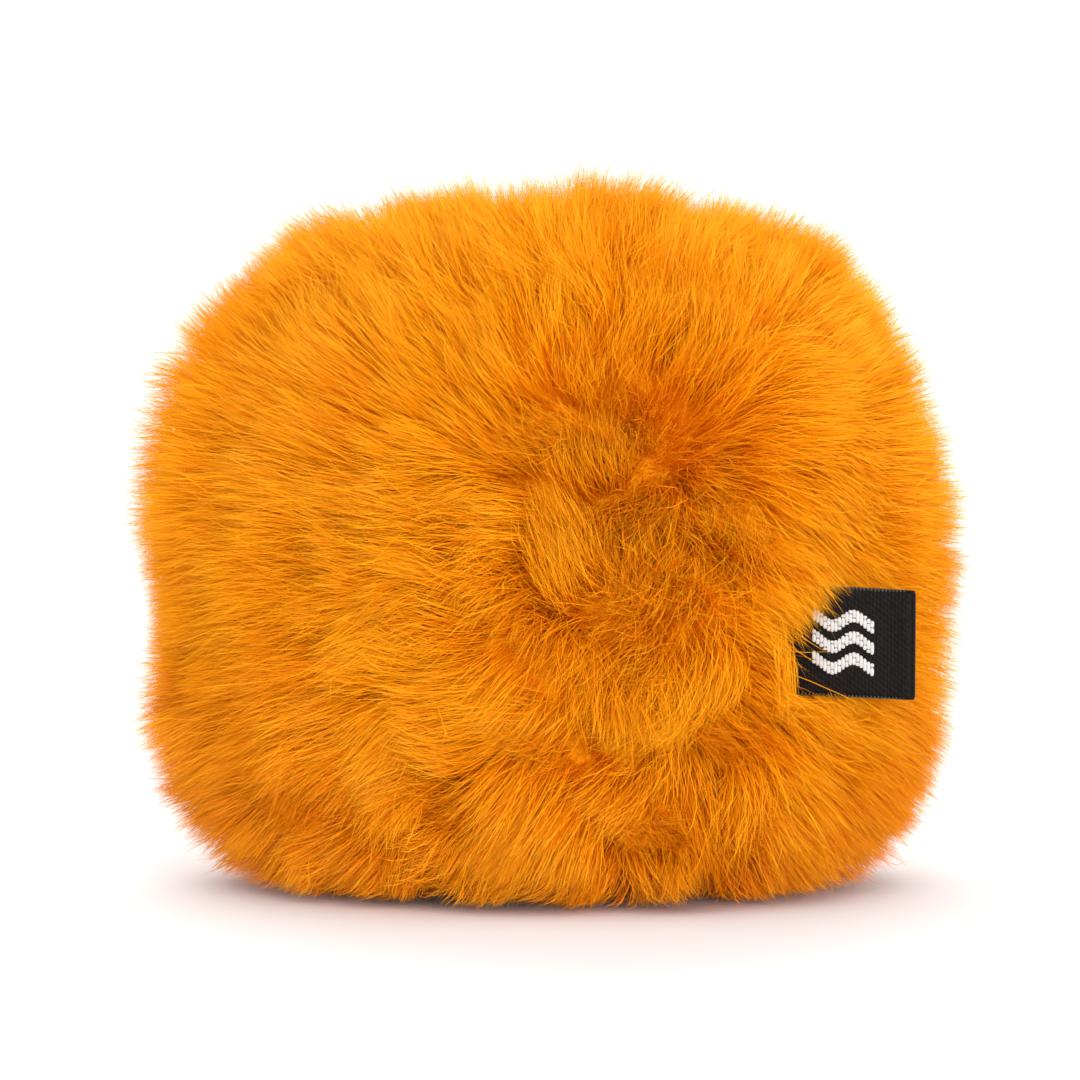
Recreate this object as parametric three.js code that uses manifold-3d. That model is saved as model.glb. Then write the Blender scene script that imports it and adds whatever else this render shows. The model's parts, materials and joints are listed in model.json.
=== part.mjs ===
// A compact furry windscreen for a clip-on wireless microphone.
// Units are millimetres. +Z is up, and the front is towards -Y.
// The origin is the centre of the flat underside, where the fur skirt rests.
// An azimuth is an angle about +Z, counted from the front towards +X.

import * as THREE from "three";
import { mergeVertices } from "three/addons/utils/BufferGeometryUtils.js";
import Module from "manifold-3d";

const wasm = await Module();
wasm.setup();

// ---- Driving dimensions ----

const GAP = 0.3; // between neighbouring pieces
const AROUND = 48; // facets round every turned piece

// Outer surface of the combed-out pile: a squat barrel, rounder at the top than at the skirt.
const PILE_R = 19.2;
const HEIGHT = 34;
const BARREL_Z = 17; // height of the widest point
const TOP_POWER = 2.6;
const SKIRT_POWER = 4;
const SKIRT_REACH = 18.5; // the skirt's curve would close this far below BARREL_Z

// Knit backing that carries the pile: a can with a rounded shoulder.
const CAN_R = 12.5;
const CAN_TOP = 26.5;
const BACKING = 0.8;
const SHOULDER_R = 5;
const SHOULDER = new THREE.Vector2(CAN_R - SHOULDER_R, CAN_TOP - SHOULDER_R);
const CROWN_SEAM = Math.PI / 4; // where on the shoulder the crown disc is sewn to the side wrap
const SEAM_AZIMUTH = THREE.MathUtils.degToRad(38);
const SLIT = 0.5; // butt joint in the side wrap

// Thread and the shallow groove that its zigzag lies in, on the inner side of the backing.
const THREAD_R = 0.13;
const ZIGZAG = { halfWidth: 0.55, pitch: 1.6 };
const GROOVE = { depth: 0.45, halfWidth: 0.9 };

// Moulded base, the hem that it traps, and the snap ring above the hem.
const PLATE = { r: CAN_R - 2 * GAP, seatZ: 1.9, topZ: 3.3, chamfer: 0.4 };
const SPIGOT = { r: 4.6, bore: 3.2, endZ: 0.4 };
const LUG = { r: 5.9, halfAngle: THREE.MathUtils.degToRad(20), height: 0.8 };
const COLLAR_R = 6.1;
const HEM = { r: 8.9, lowZ: PLATE.topZ + GAP, highZ: PLATE.topZ + GAP + BACKING };
const RING = { inner: COLLAR_R + GAP, outer: 11.3, lowZ: HEM.highZ + GAP, highZ: 5.9 };
const STAKES = { count: 4, circle: 7.9, r: 0.5, hole: 0.8, topZ: 5.8 };

// Open-cell foam core with a blind sound chamber above the spigot.
const FOAM = { r: SHOULDER.x + 3.8, lowZ: RING.highZ + GAP };
const CHAMBER = { r: 4.4, topZ: 16, bevel: 1.2 };

// Folded woven label, sewn into the side seam and leaning to the right.
const LABEL = { length: 9.7, height: 5.2, layer: 0.22, thickness: 0.62, lowZ: 10.3 };
const LABEL_AZIMUTH = THREE.MathUtils.degToRad(80); // direction from its sewn edge to its fold
const LABEL_SWING = THREE.MathUtils.degToRad(40); // towards the front, until it stands straight out
const LABEL_HINGE_R = 12.9;
const LABEL_CLEAR = 0.4;

// ---- Solids and booleans ----

function facingOut(geometry) {
  const p = geometry.getAttribute("position");
  const index = geometry.getIndex();
  const [a, b, c] = [0, 1, 2].map(() => new THREE.Vector3());
  let volume = 0;
  for (let i = 0; i < index.count; i += 3) {
    a.fromBufferAttribute(p, index.getX(i));
    b.fromBufferAttribute(p, index.getX(i + 1));
    c.fromBufferAttribute(p, index.getX(i + 2));
    volume += a.dot(b.cross(c));
  }
  if (volume < 0) {
    index.array.reverse();
  }
  return geometry;
}

// A closed, merged, outward-facing copy that holds positions only.
function merged(geometry) {
  const bare = geometry.clone();
  bare.deleteAttribute("normal");
  bare.deleteAttribute("uv");
  const whole = mergeVertices(bare, 1e-4);
  const kept = [];
  const index = whole.getIndex();
  for (let i = 0; i < index.count; i += 3) {
    const corner = [0, 1, 2].map((k) => index.getX(i + k));
    if (new Set(corner).size === 3) {
      kept.push(...corner);
    }
  }
  whole.setIndex(new THREE.BufferAttribute(new Uint32Array(kept), 1));
  return facingOut(whole);
}

function toSolid(geometry) {
  const whole = merged(geometry);
  return new wasm.Manifold(
    new wasm.Mesh({
      numProp: 3,
      vertProperties: new Float32Array(whole.getAttribute("position").array),
      triVerts: new Uint32Array(whole.getIndex().array),
    }),
  );
}

function toGeometry(solid) {
  const mesh = solid.getMesh();
  const geometry = new THREE.BufferGeometry();
  geometry.setAttribute("position", new THREE.BufferAttribute(mesh.vertProperties, 3));
  geometry.setIndex(new THREE.BufferAttribute(mesh.triVerts, 1));
  geometry.computeVertexNormals();
  return geometry;
}

// A body turned about +Z from a profile of [radius, height] points.
function turned(profile, segments = AROUND) {
  const points = profile.map(([r, z]) => new THREE.Vector2(r, z));
  return new THREE.LatheGeometry(points, segments).rotateX(Math.PI / 2);
}

// The same, for a profile that is a closed loop away from the axis.
function turnedRing(profile, segments = AROUND) {
  return turned([...profile, profile[0]], segments);
}

// A flat outline of [x, y] points raised from lowZ to highZ.
function raised(outline, lowZ, highZ) {
  const shape = new THREE.Shape(outline.map(([x, y]) => new THREE.Vector2(x, y)));
  const settings = { depth: highZ - lowZ, bevelEnabled: false };
  return new THREE.ExtrudeGeometry(shape, settings).translate(0, 0, lowZ);
}

function post(radius, lowZ, highZ, x, y) {
  const height = highZ - lowZ;
  const geometry = new THREE.CylinderGeometry(radius, radius, height, 16);
  return geometry.rotateX(Math.PI / 2).translate(x, y, lowZ + height / 2);
}

// The compass direction of an azimuth.
function heading(azimuth) {
  return new THREE.Vector2(Math.sin(azimuth), -Math.cos(azimuth));
}

// ---- Outlines shared by the soft pieces ----

function pileRadius(z) {
  const upper = z >= BARREL_Z;
  const reach = Math.abs(z - BARREL_Z) / (upper ? HEIGHT - BARREL_Z : SKIRT_REACH);
  const power = upper ? TOP_POWER : SKIRT_POWER;
  return PILE_R * Math.max(0, 1 - reach ** power) ** (1 / power);
}

// Points down the pile's outer surface, closer together where it bends more.
function pileOutline(fromZ, toZ, steps) {
  const angleAt = (z) => {
    const upper = z >= BARREL_Z;
    const reach = Math.abs(z - BARREL_Z) / (upper ? HEIGHT - BARREL_Z : SKIRT_REACH);
    const angle = Math.asin(Math.min(1, reach ** ((upper ? TOP_POWER : SKIRT_POWER) / 2)));
    return upper ? angle : -angle;
  };
  const heightAt = (angle) => {
    const upper = angle >= 0;
    const share = Math.sin(Math.abs(angle)) ** (2 / (upper ? TOP_POWER : SKIRT_POWER));
    return BARREL_Z + (upper ? HEIGHT - BARREL_Z : -SKIRT_REACH) * share;
  };
  const [first, last] = [angleAt(fromZ), angleAt(toZ)];
  return Array.from({ length: steps + 1 }, (_, i) => {
    const z = heightAt(THREE.MathUtils.lerp(first, last, i / steps));
    return [pileRadius(z), z];
  });
}

// A point at a distance and angle from the shoulder's centre.
function onShoulder(distance, angle) {
  return [SHOULDER.x + distance * Math.cos(angle), SHOULDER.y + distance * Math.sin(angle)];
}

function shoulderArc(distance, fromAngle, toAngle, steps) {
  return Array.from({ length: steps + 1 }, (_, i) =>
    onShoulder(distance, THREE.MathUtils.lerp(fromAngle, toAngle, i / steps)),
  );
}

// A point on the face that the crown (side 1) or the wrap (side -1) turns to the crown seam.
function onCrownSeam(distance, side) {
  const [r, z] = onShoulder(distance, CROWN_SEAM);
  const shift = (side * GAP) / 2;
  return [r - shift * Math.sin(CROWN_SEAM), z + shift * Math.cos(CROWN_SEAM)];
}

// How far that face runs before it meets the pile's outer surface.
function crownSeamReach(side) {
  let [inside, outside] = [SHOULDER_R, PILE_R];
  for (let i = 0; i < 40; i += 1) {
    const middle = (inside + outside) / 2;
    const [r, z] = onCrownSeam(middle, side);
    if (z < HEIGHT && r < pileRadius(z)) {
      inside = middle;
    } else {
      outside = middle;
    }
  }
  return inside;
}

const INNER = SHOULDER_R - BACKING; // the backing's inner side, from the shoulder's centre
const GROOVE_FLOOR = INNER + GROOVE.depth;
const GROOVE_ANGLE = GROOVE.halfWidth / INNER;

// ---- Fur ----

function sideWrapRing() {
  const top = onCrownSeam(crownSeamReach(-1), -1);
  const grooveEnd = CROWN_SEAM - GROOVE_ANGLE;
  return turnedRing([
    [CAN_R - GAP, 0],
    ...pileOutline(0, top[1], 12),
    onCrownSeam(GROOVE_FLOOR, -1),
    onShoulder(GROOVE_FLOOR, grooveEnd),
    ...shoulderArc(INNER, grooveEnd, 0, 3),
    [CAN_R - BACKING, HEM.highZ],
    [HEM.r, HEM.highZ],
    [HEM.r, HEM.lowZ],
    [CAN_R - GAP, HEM.lowZ],
  ]);
}

// The butt joint, cut through the wrap from the hem to the crown seam.
function seamSlit() {
  const reach = PILE_R - HEM.r + 4;
  return new THREE.BoxGeometry(reach, SLIT, HEIGHT * 1.2)
    .translate(HEM.r - 2 + reach / 2, 0, HEIGHT / 2)
    .rotateZ(SEAM_AZIMUTH - Math.PI / 2);
}

// The groove beside the joint, for its thread.
function seamGroove() {
  const low = HEM.highZ + GAP;
  const outline = [
    [CAN_R - BACKING + GROOVE.depth, low],
    ...shoulderArc(GROOVE_FLOOR, 0, CROWN_SEAM, 4),
    ...shoulderArc(INNER - 1, CROWN_SEAM, 0, 4),
    [CAN_R - BACKING - 1, low],
  ];
  return raised(outline, -GROOVE.halfWidth, GROOVE.halfWidth)
    .rotateX(Math.PI / 2)
    .rotateZ(SEAM_AZIMUTH - Math.PI / 2);
}

// The parting in the pile that the label lies in and swings through.
function labelPocket() {
  const hinge = heading(SEAM_AZIMUTH).multiplyScalar(LABEL_HINGE_R);
  const side = LABEL.thickness / 2 + LABEL_CLEAR;
  const far = PILE_R;
  const edge = (azimuth, turn) => {
    const along = heading(azimuth);
    const across = new THREE.Vector2(-along.y, along.x).multiplyScalar(turn * side);
    return [
      along.clone().multiplyScalar(-LABEL_CLEAR).add(across).add(hinge),
      along.clone().multiplyScalar(far).add(across).add(hinge),
    ];
  };
  const [backNear, backFar] = edge(LABEL_AZIMUTH, 1);
  const [frontNear, frontFar] = edge(LABEL_AZIMUTH - LABEL_SWING, -1);
  const outline = [backNear, frontNear, frontFar, backFar].map((p) => [p.x, p.y]);
  const [low, high] = [LABEL.lowZ - LABEL_CLEAR, LABEL.lowZ + LABEL.height + LABEL_CLEAR];
  return raised(outline, low, high);
}

function furSideWrap() {
  const cuts = [seamSlit(), seamGroove(), labelPocket()];
  const solid = cuts.reduce((body, cut) => body.subtract(toSolid(cut)), toSolid(sideWrapRing()));
  return toGeometry(solid);
}

function furCrown() {
  const start = onCrownSeam(crownSeamReach(1), 1);
  const grooveEnd = CROWN_SEAM + GROOVE_ANGLE;
  return merged(
    turned([
      [0, CAN_TOP - BACKING],
      ...shoulderArc(INNER, Math.PI / 2, grooveEnd, 3),
      onShoulder(GROOVE_FLOOR, grooveEnd),
      onCrownSeam(GROOVE_FLOOR, 1),
      ...pileOutline(start[1], HEIGHT, 8).slice(0, -1),
      [0, HEIGHT],
    ]),
  );
}

// ---- Thread ----

// A zigzag that follows a seam. place(t) gives a point on the seam and the direction across it.
class Zigzag extends THREE.Curve {
  constructor(place, length) {
    super();
    this.place = place;
    this.waves = Math.round(length / ZIGZAG.pitch);
  }

  getPoint(t, target = new THREE.Vector3()) {
    const { point, across } = this.place(t);
    const shift = ZIGZAG.halfWidth * Math.sin(2 * Math.PI * this.waves * t);
    return target.copy(point).addScaledVector(across, shift);
  }
}

function thread(place, length) {
  const path = new Zigzag(place, length);
  const section = new THREE.Shape();
  section.absarc(0, 0, THREAD_R, 0, 2 * Math.PI);
  const settings = { extrudePath: path, steps: path.waves * 6, curveSegments: 3, bevelEnabled: false };
  return merged(new THREE.ExtrudeGeometry(section, settings));
}

const THREAD_AT = INNER + GROOVE.depth / 2;

function sideSeamThread() {
  const out = heading(SEAM_AZIMUTH);
  const across = new THREE.Vector3(-out.y, out.x, 0);
  const low = HEM.highZ + 3 * GAP;
  const straight = SHOULDER.y - low;
  const bend = THREAD_AT * (CROWN_SEAM - GROOVE_ANGLE * 2);
  const place = (t) => {
    const gone = t * (straight + bend);
    const angle = Math.max(0, gone - straight) / THREAD_AT;
    const [r, z] = onShoulder(THREAD_AT, angle);
    const height = gone < straight ? low + gone : z;
    return { point: new THREE.Vector3(out.x * r, out.y * r, height), across };
  };
  return thread(place, straight + bend);
}

function crownSeamThread() {
  const [r, z] = onShoulder(THREAD_AT, CROWN_SEAM);
  const gap = THREE.MathUtils.degToRad(6); // the seam starts and ends beside the side seam
  const place = (t) => {
    const out = heading(SEAM_AZIMUTH + gap + t * (2 * Math.PI - 2 * gap));
    const slope = Math.sin(CROWN_SEAM);
    return {
      point: new THREE.Vector3(out.x * r, out.y * r, z),
      across: new THREE.Vector3(-out.x * slope, -out.y * slope, Math.cos(CROWN_SEAM)),
    };
  };
  return thread(place, 2 * Math.PI * r);
}

// ---- Core and base ----

function foamCore() {
  return merged(
    turned([
      [0, CHAMBER.topZ],
      [CHAMBER.r - CHAMBER.bevel, CHAMBER.topZ],
      [CHAMBER.r, CHAMBER.topZ - CHAMBER.bevel],
      [CHAMBER.r, FOAM.lowZ],
      [FOAM.r, FOAM.lowZ],
      ...shoulderArc(FOAM.r - SHOULDER.x, 0, Math.PI / 2, 6),
      [0, SHOULDER.y + FOAM.r - SHOULDER.x],
    ]),
  );
}

function onStakeCircle(make) {
  return Array.from({ length: STAKES.count }, (_, i) => {
    const angle = (2 * Math.PI * (i + 0.5)) / STAKES.count;
    return make(STAKES.circle * Math.cos(angle), STAKES.circle * Math.sin(angle));
  });
}

// One bayonet lug: a sector of a ring at the end of the spigot.
function bayonetLug(azimuth) {
  const inner = (SPIGOT.r + SPIGOT.bore) / 2;
  const steps = 6;
  const arc = (radius, turn) =>
    Array.from({ length: steps + 1 }, (_, i) => {
      const offset = turn * LUG.halfAngle * ((2 * i) / steps - 1);
      return heading(azimuth + offset).multiplyScalar(radius);
    });
  const outline = [...arc(LUG.r, 1), ...arc(inner, -1)].map((p) => [p.x, p.y]);
  return raised(outline, SPIGOT.endZ, SPIGOT.endZ + LUG.height);
}

function basePlate() {
  const body = turnedRing([
    [SPIGOT.bore, SPIGOT.endZ],
    [SPIGOT.r, SPIGOT.endZ],
    [SPIGOT.r, PLATE.seatZ],
    [PLATE.r - PLATE.chamfer, PLATE.seatZ],
    [PLATE.r, PLATE.seatZ + PLATE.chamfer],
    [PLATE.r, PLATE.topZ],
    [COLLAR_R, PLATE.topZ],
    [COLLAR_R, RING.highZ],
    [SPIGOT.bore, RING.highZ],
  ]);
  const stakes = onStakeCircle((x, y) => post(STAKES.r, PLATE.seatZ + GAP, STAKES.topZ, x, y));
  const lugs = [bayonetLug(Math.PI / 2), bayonetLug(-Math.PI / 2)];
  const solid = [...stakes, ...lugs].reduce((whole, piece) => whole.add(toSolid(piece)), toSolid(body));
  return toGeometry(solid);
}

function hemClampRing() {
  const ring = turnedRing([
    [RING.inner, RING.lowZ],
    [RING.outer, RING.lowZ],
    [RING.outer, RING.highZ],
    [RING.inner, RING.highZ],
  ]);
  const holes = onStakeCircle((x, y) => post(STAKES.hole, RING.lowZ - 1, RING.highZ + 1, x, y));
  const solid = holes.reduce((body, hole) => body.subtract(toSolid(hole)), toSolid(ring));
  return toGeometry(solid);
}

// ---- Label ----

// One ribbon folded back on itself, seen end on: its sewn edge at x = 0 and its fold at x = length.
function labelTab() {
  const half = LABEL.thickness / 2;
  const inside = half - LABEL.layer;
  const bend = LABEL.length - half;
  const outline = new THREE.Shape();
  outline.moveTo(LABEL_CLEAR, -half);
  outline.lineTo(bend, -half);
  outline.absarc(bend, 0, half, -Math.PI / 2, Math.PI / 2);
  outline.lineTo(LABEL_CLEAR, half);
  outline.lineTo(LABEL_CLEAR, -half);
  const slot = new THREE.Path();
  const closed = LABEL_CLEAR + 3 * LABEL.layer;
  slot.moveTo(closed, -inside);
  slot.lineTo(closed, inside);
  slot.lineTo(bend, inside);
  slot.absarc(bend, 0, inside, Math.PI / 2, -Math.PI / 2, true);
  slot.lineTo(closed, -inside);
  outline.holes.push(slot);
  const settings = { depth: LABEL.height, curveSegments: 8, bevelEnabled: false };
  const hinge = heading(SEAM_AZIMUTH).multiplyScalar(LABEL_HINGE_R);
  return merged(new THREE.ExtrudeGeometry(outline, settings))
    .rotateZ(LABEL_AZIMUTH - Math.PI / 2)
    .translate(hinge.x, hinge.y, LABEL.lowZ);
}

// ---- Assembly ----

function material(color, roughness) {
  return new THREE.MeshStandardMaterial({ color, roughness, metalness: 0 });
}

function piece(name, geometry, look) {
  const mesh = new THREE.Mesh(geometry, look);
  mesh.name = name;
  return mesh;
}

const windscreen = new THREE.Group();
windscreen.add(
  piece("fur_side_wrap", furSideWrap(), material("#ee870c", 0.85)),
  piece("fur_crown", furCrown(), material("#f08d10", 0.85)),
  piece("side_seam_thread", sideSeamThread(), material("#d9780c", 0.7)),
  piece("crown_seam_thread", crownSeamThread(), material("#d9780c", 0.7)),
  piece("foam_core", foamCore(), material("#2b2b2d", 0.95)),
  piece("base_plate", basePlate(), material("#1b1b1c", 0.5)),
  piece("hem_clamp_ring", hemClampRing(), material("#232324", 0.55)),
  piece("label_tab", labelTab(), material("#17130f", 0.6)),
);

export default windscreen;
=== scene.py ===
import json
import math

import bpy
import numpy as np
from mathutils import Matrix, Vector
from mathutils.kdtree import KDTree

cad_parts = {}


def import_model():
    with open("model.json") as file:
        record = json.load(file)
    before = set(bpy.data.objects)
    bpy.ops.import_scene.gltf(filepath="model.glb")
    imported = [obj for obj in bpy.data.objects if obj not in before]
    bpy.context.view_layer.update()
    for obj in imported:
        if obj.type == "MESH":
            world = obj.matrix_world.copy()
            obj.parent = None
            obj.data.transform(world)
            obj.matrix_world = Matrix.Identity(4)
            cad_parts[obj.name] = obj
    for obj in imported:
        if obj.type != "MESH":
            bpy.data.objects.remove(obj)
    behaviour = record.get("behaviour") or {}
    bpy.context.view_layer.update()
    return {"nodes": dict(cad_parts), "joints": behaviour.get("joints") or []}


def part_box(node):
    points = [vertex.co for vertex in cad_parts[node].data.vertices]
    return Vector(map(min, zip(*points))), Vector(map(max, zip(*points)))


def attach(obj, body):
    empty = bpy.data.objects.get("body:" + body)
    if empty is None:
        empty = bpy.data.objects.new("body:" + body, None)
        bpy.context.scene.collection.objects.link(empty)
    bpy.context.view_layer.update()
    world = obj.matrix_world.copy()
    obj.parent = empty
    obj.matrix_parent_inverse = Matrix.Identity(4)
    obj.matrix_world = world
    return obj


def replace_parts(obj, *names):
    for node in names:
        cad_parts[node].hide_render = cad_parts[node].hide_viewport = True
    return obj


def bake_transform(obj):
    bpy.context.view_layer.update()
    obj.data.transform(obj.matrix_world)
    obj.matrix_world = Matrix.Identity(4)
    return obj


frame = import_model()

# A compact furry windscreen. Lengths in this script are millimetres, and objects are made in metres.
MM = 0.001
SEED = 20
rng = np.random.default_rng(SEED)


def box_mm(node):
    """A CAD node's lowest and highest corners in millimetres."""
    low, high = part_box(node)
    return np.array(low) / MM, np.array(high) / MM


# ---- The frame's sizes ----

foam_low, foam_high = box_mm("foam_core")
_, plate_high = box_mm("base_plate")
label_low, label_high = box_mm("label_tab")
hinge = np.array(frame["joints"][0]["pos_m"]) / MM

BACKING = 0.8
LOOSE_FIT = 0.4
CAN_R = foam_high[0] + LOOSE_FIT + BACKING
CAN_TOP = foam_high[2] + LOOSE_FIT + BACKING
SHOULDER_R = 5.0
HEM_R = 1.0
HEM_Z = plate_high[2] - 2.3
HEM_FLANGE = 2.6
CROWN_SEAM = math.pi / 4
SEAM_AZIMUTH = math.atan2(hinge[0], -hinge[1])
LABEL_AZIMUTH = math.radians(80)
LABEL_ALONG = np.array([math.sin(LABEL_AZIMUTH), -math.cos(LABEL_AZIMUTH)])
LABEL_BACK = np.array([-LABEL_ALONG[1], LABEL_ALONG[0]])
LABEL_ROOT = float((label_low[0] - hinge[0]) / LABEL_ALONG[0])
LABEL_LENGTH = float((label_high[0] - hinge[0]) / LABEL_ALONG[0])
LABEL_SWING = math.radians(40)
LABEL_PITCH = 0.175  # between the ribbon's picks

# ---- The fur's make ----

STRANDS = 340_000
STRAND_WIDTHS = (0.032, 0.055)
PILE = 8.25  # a strand's cut length
LONGEST = 1.04  # the longest strands' share of it
SHORTER = 0.48  # how much less the shortest have
SHORTER_SKEW = 1.25
HEM_TRIM = 0.32  # the share that all strands lose at the hem
SHOULDER_TRIM = 0.10  # and on the shoulder
CROWN_EXTRA = 0.14  # the share that they gain on the crown
REGIONS_UNEVEN = 0.05  # how much the length differs from region to region
LOCKS_UNEVEN = 0.12  # and from lock to lock
STRANDS_PER_PIECE = 21_000  # the most strands in one piece; keeps each piece's file a size that tools open
STATIONS = 6  # points along a strand
SHADES = 64  # columns in the fibre's colour map
STRAYS = 0.06  # the share of strands that have left their lock
STRAY_LENGTHS = (1.0, 1.30)  # how much longer those are
LOOSE_OVER_LABEL = 0.03  # the share of strands that the label doesn't hold
UNDERCOAT = 2.2  # the depth of the dense wool under the pile

# The locks that the pile gathers in, large to small: their spacing, how closely strands draw together,
# and how wildly the locks lie where the pile is tousled.
LOCKS = [
    (3.0, 0.42, 0.12),
    (1.9, 0.84, 0.75),
    (0.6, 0.26, 0.10),
]
LOCK_LENGTHS = (0.82, 1.02)
LOCK_UNRULY = 0.08
LOCK_PULLS = (0.25, 1.0)  # some locks draw their strands together less than others
STRAND_PULLS = (0.6, 1.0)  # and some strands are drawn less than their neighbours
CALM_PULL = 0.55
TOUSLED_PULL = 0.45
PULL_RISE = 1.4  # how the pull grows along a strand

# Leans are sideways or upward shares of a strand's reach outward. Pile rooted above this height leans up,
# and pile rooted below it leans down.
LEVEL_HEIGHT = 16.5
LEAN_PER_MM = 0.045
LEAN_LIMITS = (-0.40, 0.30)
SEAM_PARTING = 0.15
SEAM_PARTING_REACH = 2.5
CROWN_PARTING = 0.10
CROWN_PARTING_REACH = 1.2
OUTWARD_ON_TOP = 0.35
BROAD_SWIRL = 0.42
LOCK_SWIRL = 0.17
FINE_SWIRL = 0.16
TOUSLED_SWIRL = 1.5
TOSS = 0.90

# A strand leans more from its root to its tip, droops a little and curls.
LEAN_AT_ROOT = 0.35
LEAN_ALONG = 0.95
DROOP = 0.12
CURL = 0.25
UNRULY_CURL = 2.2

# How unruly a strand is: a calm one, one that has left its lock, and what a tousled place adds.
CALM = 0.05
STRAY_UNRULY = 0.28
TOUSLED_UNRULY = 0.15

# Where the pile is tousled: the middle and reach of each patch round in radians, and up.
TOUSLED = [
    (0.30, 0.52, 12.0, 10.5),
    (-0.20, 0.70, 4.5, 4.5),
]
TOUSLED_CROWN = 0.4
TOUSLED_CROWN_REACH = 2.5

# How bright a strand is, from 0 to 1: in the middle of the height, more for each millimetre up and less at
# the hem, which are painted light and painted shade, more where it is tousled, which is painted light, more
# where it has strayed, and how much regions, tufts, locks and strands differ.
SHADE = 0.58
PAINTED_LIGHT_MIDDLE = 18.0
PAINTED_LIGHT_PER_MM = 0.010
PAINTED_HEM_SHADE = 0.46
PAINTED_HEM_SHADE_REACH = 9.0
PAINTED_TOUSLED_LIGHT = 0.24
STRAY_SHADE = 0.15
REGIONS_DIFFER = 0.18
TUFTS_DIFFER = 0.11
LOCKS_DIFFER = 0.07
STRANDS_DIFFER = 0.16

# The label lies in the pile as far as COVERED, and the pile above it hangs over its near corner.
COVERED = 3.5
COVER_UNEVEN = 0.18
COVER_LIFTED = 0.10
COVER_TURNED_DOWN = 0.8
HANG = 1.9
HANG_FROM = 4.4
HANG_WIDTH = 1.2
HANG_UNEVEN = 0.6
BEHIND_LABEL = 0.55
BEFORE_LABEL = -0.45

# How hands and a brush have laid the pile: the middle of each stroke (degrees round, height), how far it
# reaches round and up, and the lean that it adds sideways and upwards.
STROKES = [
    (-5, 15, 9.0, 17.0, -0.90, 0.00),
    (-35, 25, 8.0, 5.0, -0.20, 0.25),
    (-30, 2, 10.0, 3.0, -0.60, 0.20),
    (50, 2, 8.0, 3.0, 0.35, 0.10),
    (-3, 19, 2.6, 2.4, -0.50, 0.30),
    (5, 11, 3.0, 2.6, -0.30, -0.60),
    (18, 13, 2.0, 2.2, 0.35, -0.20),
    (25, 7, 2.6, 3.2, 0.40, -0.50),
    (14, 20, 2.4, 3.0, -0.35, 0.15),
    (31, 16, 2.0, 2.8, 0.00, -0.25),
    (34, 13, 2.0, 4.0, 0.80, -0.80),
    (45, 18, 2.6, 4.0, 0.05, -1.00),
    (38, 22, 5.0, 4.0, 0.38, 0.00),
    (26, 22.5, 2.4, 2.2, 0.30, 0.25),
    (60, 24, 5.0, 5.0, 0.35, 0.10),
    (55, 6, 5.0, 4.0, 0.30, -0.15),
]

# Where the pile has kept more or less of its length: a place, its reach, and the share added.
UNEVEN = [
    ((-13.0, 0.0, 17.5), 6.0, 0.07),
    ((-12.0, 0.0, 25.0), 4.0, 0.15),
    ((-12.0, 0.0, 4.0), 4.0, 0.08),
    ((12.5, 0.0, 22.0), 3.6, -0.06),
    ((10.5, 0.0, 25.5), 2.8, 0.09),
    ((12.5, 0.0, 6.5), 4.5, -0.06),
    ((3.0, 0.0, 26.5), 2.6, 0.04),
    ((7.4, 0.0, 26.5), 2.2, -0.10),
]


# ---- The backing's outline ----


def meridian(s):
    """Radius, height and normal's elevation at arc lengths s up the backing, from the hem to the apex.

    Below 0 the arc length runs along the turned-in hem.
    """
    hem = HEM_R * math.pi / 2
    wall = CAN_TOP - SHOULDER_R - (HEM_Z + HEM_R)
    shoulder = SHOULDER_R * math.pi / 2
    on_hem = np.clip(s / hem, 0, 1) * math.pi / 2 - math.pi / 2
    on_shoulder = np.clip((s - hem - wall) / shoulder, 0, 1) * math.pi / 2
    up = np.clip(s - hem, 0, wall)
    across = np.clip(s - hem - wall - shoulder, 0, CAN_R - SHOULDER_R)
    r = CAN_R - HEM_R * (1 - np.cos(on_hem)) - SHOULDER_R * (1 - np.cos(on_shoulder)) - across
    r = r + np.minimum(s, 0)
    z = HEM_Z + HEM_R * (1 + np.sin(on_hem)) + up + SHOULDER_R * np.sin(on_shoulder)
    return r, z, on_hem + on_shoulder


WALL_START = HEM_R * math.pi / 2
WALL_END = WALL_START + CAN_TOP - SHOULDER_R - HEM_Z - HEM_R
CROWN_START = WALL_END + SHOULDER_R * CROWN_SEAM
APEX = WALL_END + SHOULDER_R * math.pi / 2 + CAN_R - SHOULDER_R


def local_axes(azimuth, slope):
    """The normal, the sideways and the upward tangent at places on the backing."""
    out = np.stack([np.sin(azimuth), -np.cos(azimuth), np.zeros_like(azimuth)], 1)
    side = np.stack([np.cos(azimuth), np.sin(azimuth), np.zeros_like(azimuth)], 1)
    up = np.array([0.0, 0.0, 1.0])
    normal = out * np.cos(slope)[:, None] + up * np.sin(slope)[:, None]
    rise = up * np.cos(slope)[:, None] - out * np.sin(slope)[:, None]
    return normal, side, rise


def scatter(count, start, end):
    """Places spread evenly over the backing between two arc lengths: azimuths and arc lengths."""
    fine = np.linspace(start, end, 400)
    weight = np.cumsum(meridian(fine)[0])
    s = np.interp(rng.random(count) * weight[-1], weight, fine)
    return rng.uniform(-math.pi, math.pi, count), s


def unit(v):
    """Vectors made one long."""
    return v / np.maximum(np.linalg.norm(v, axis=-1, keepdims=True), 1e-9)


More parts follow.
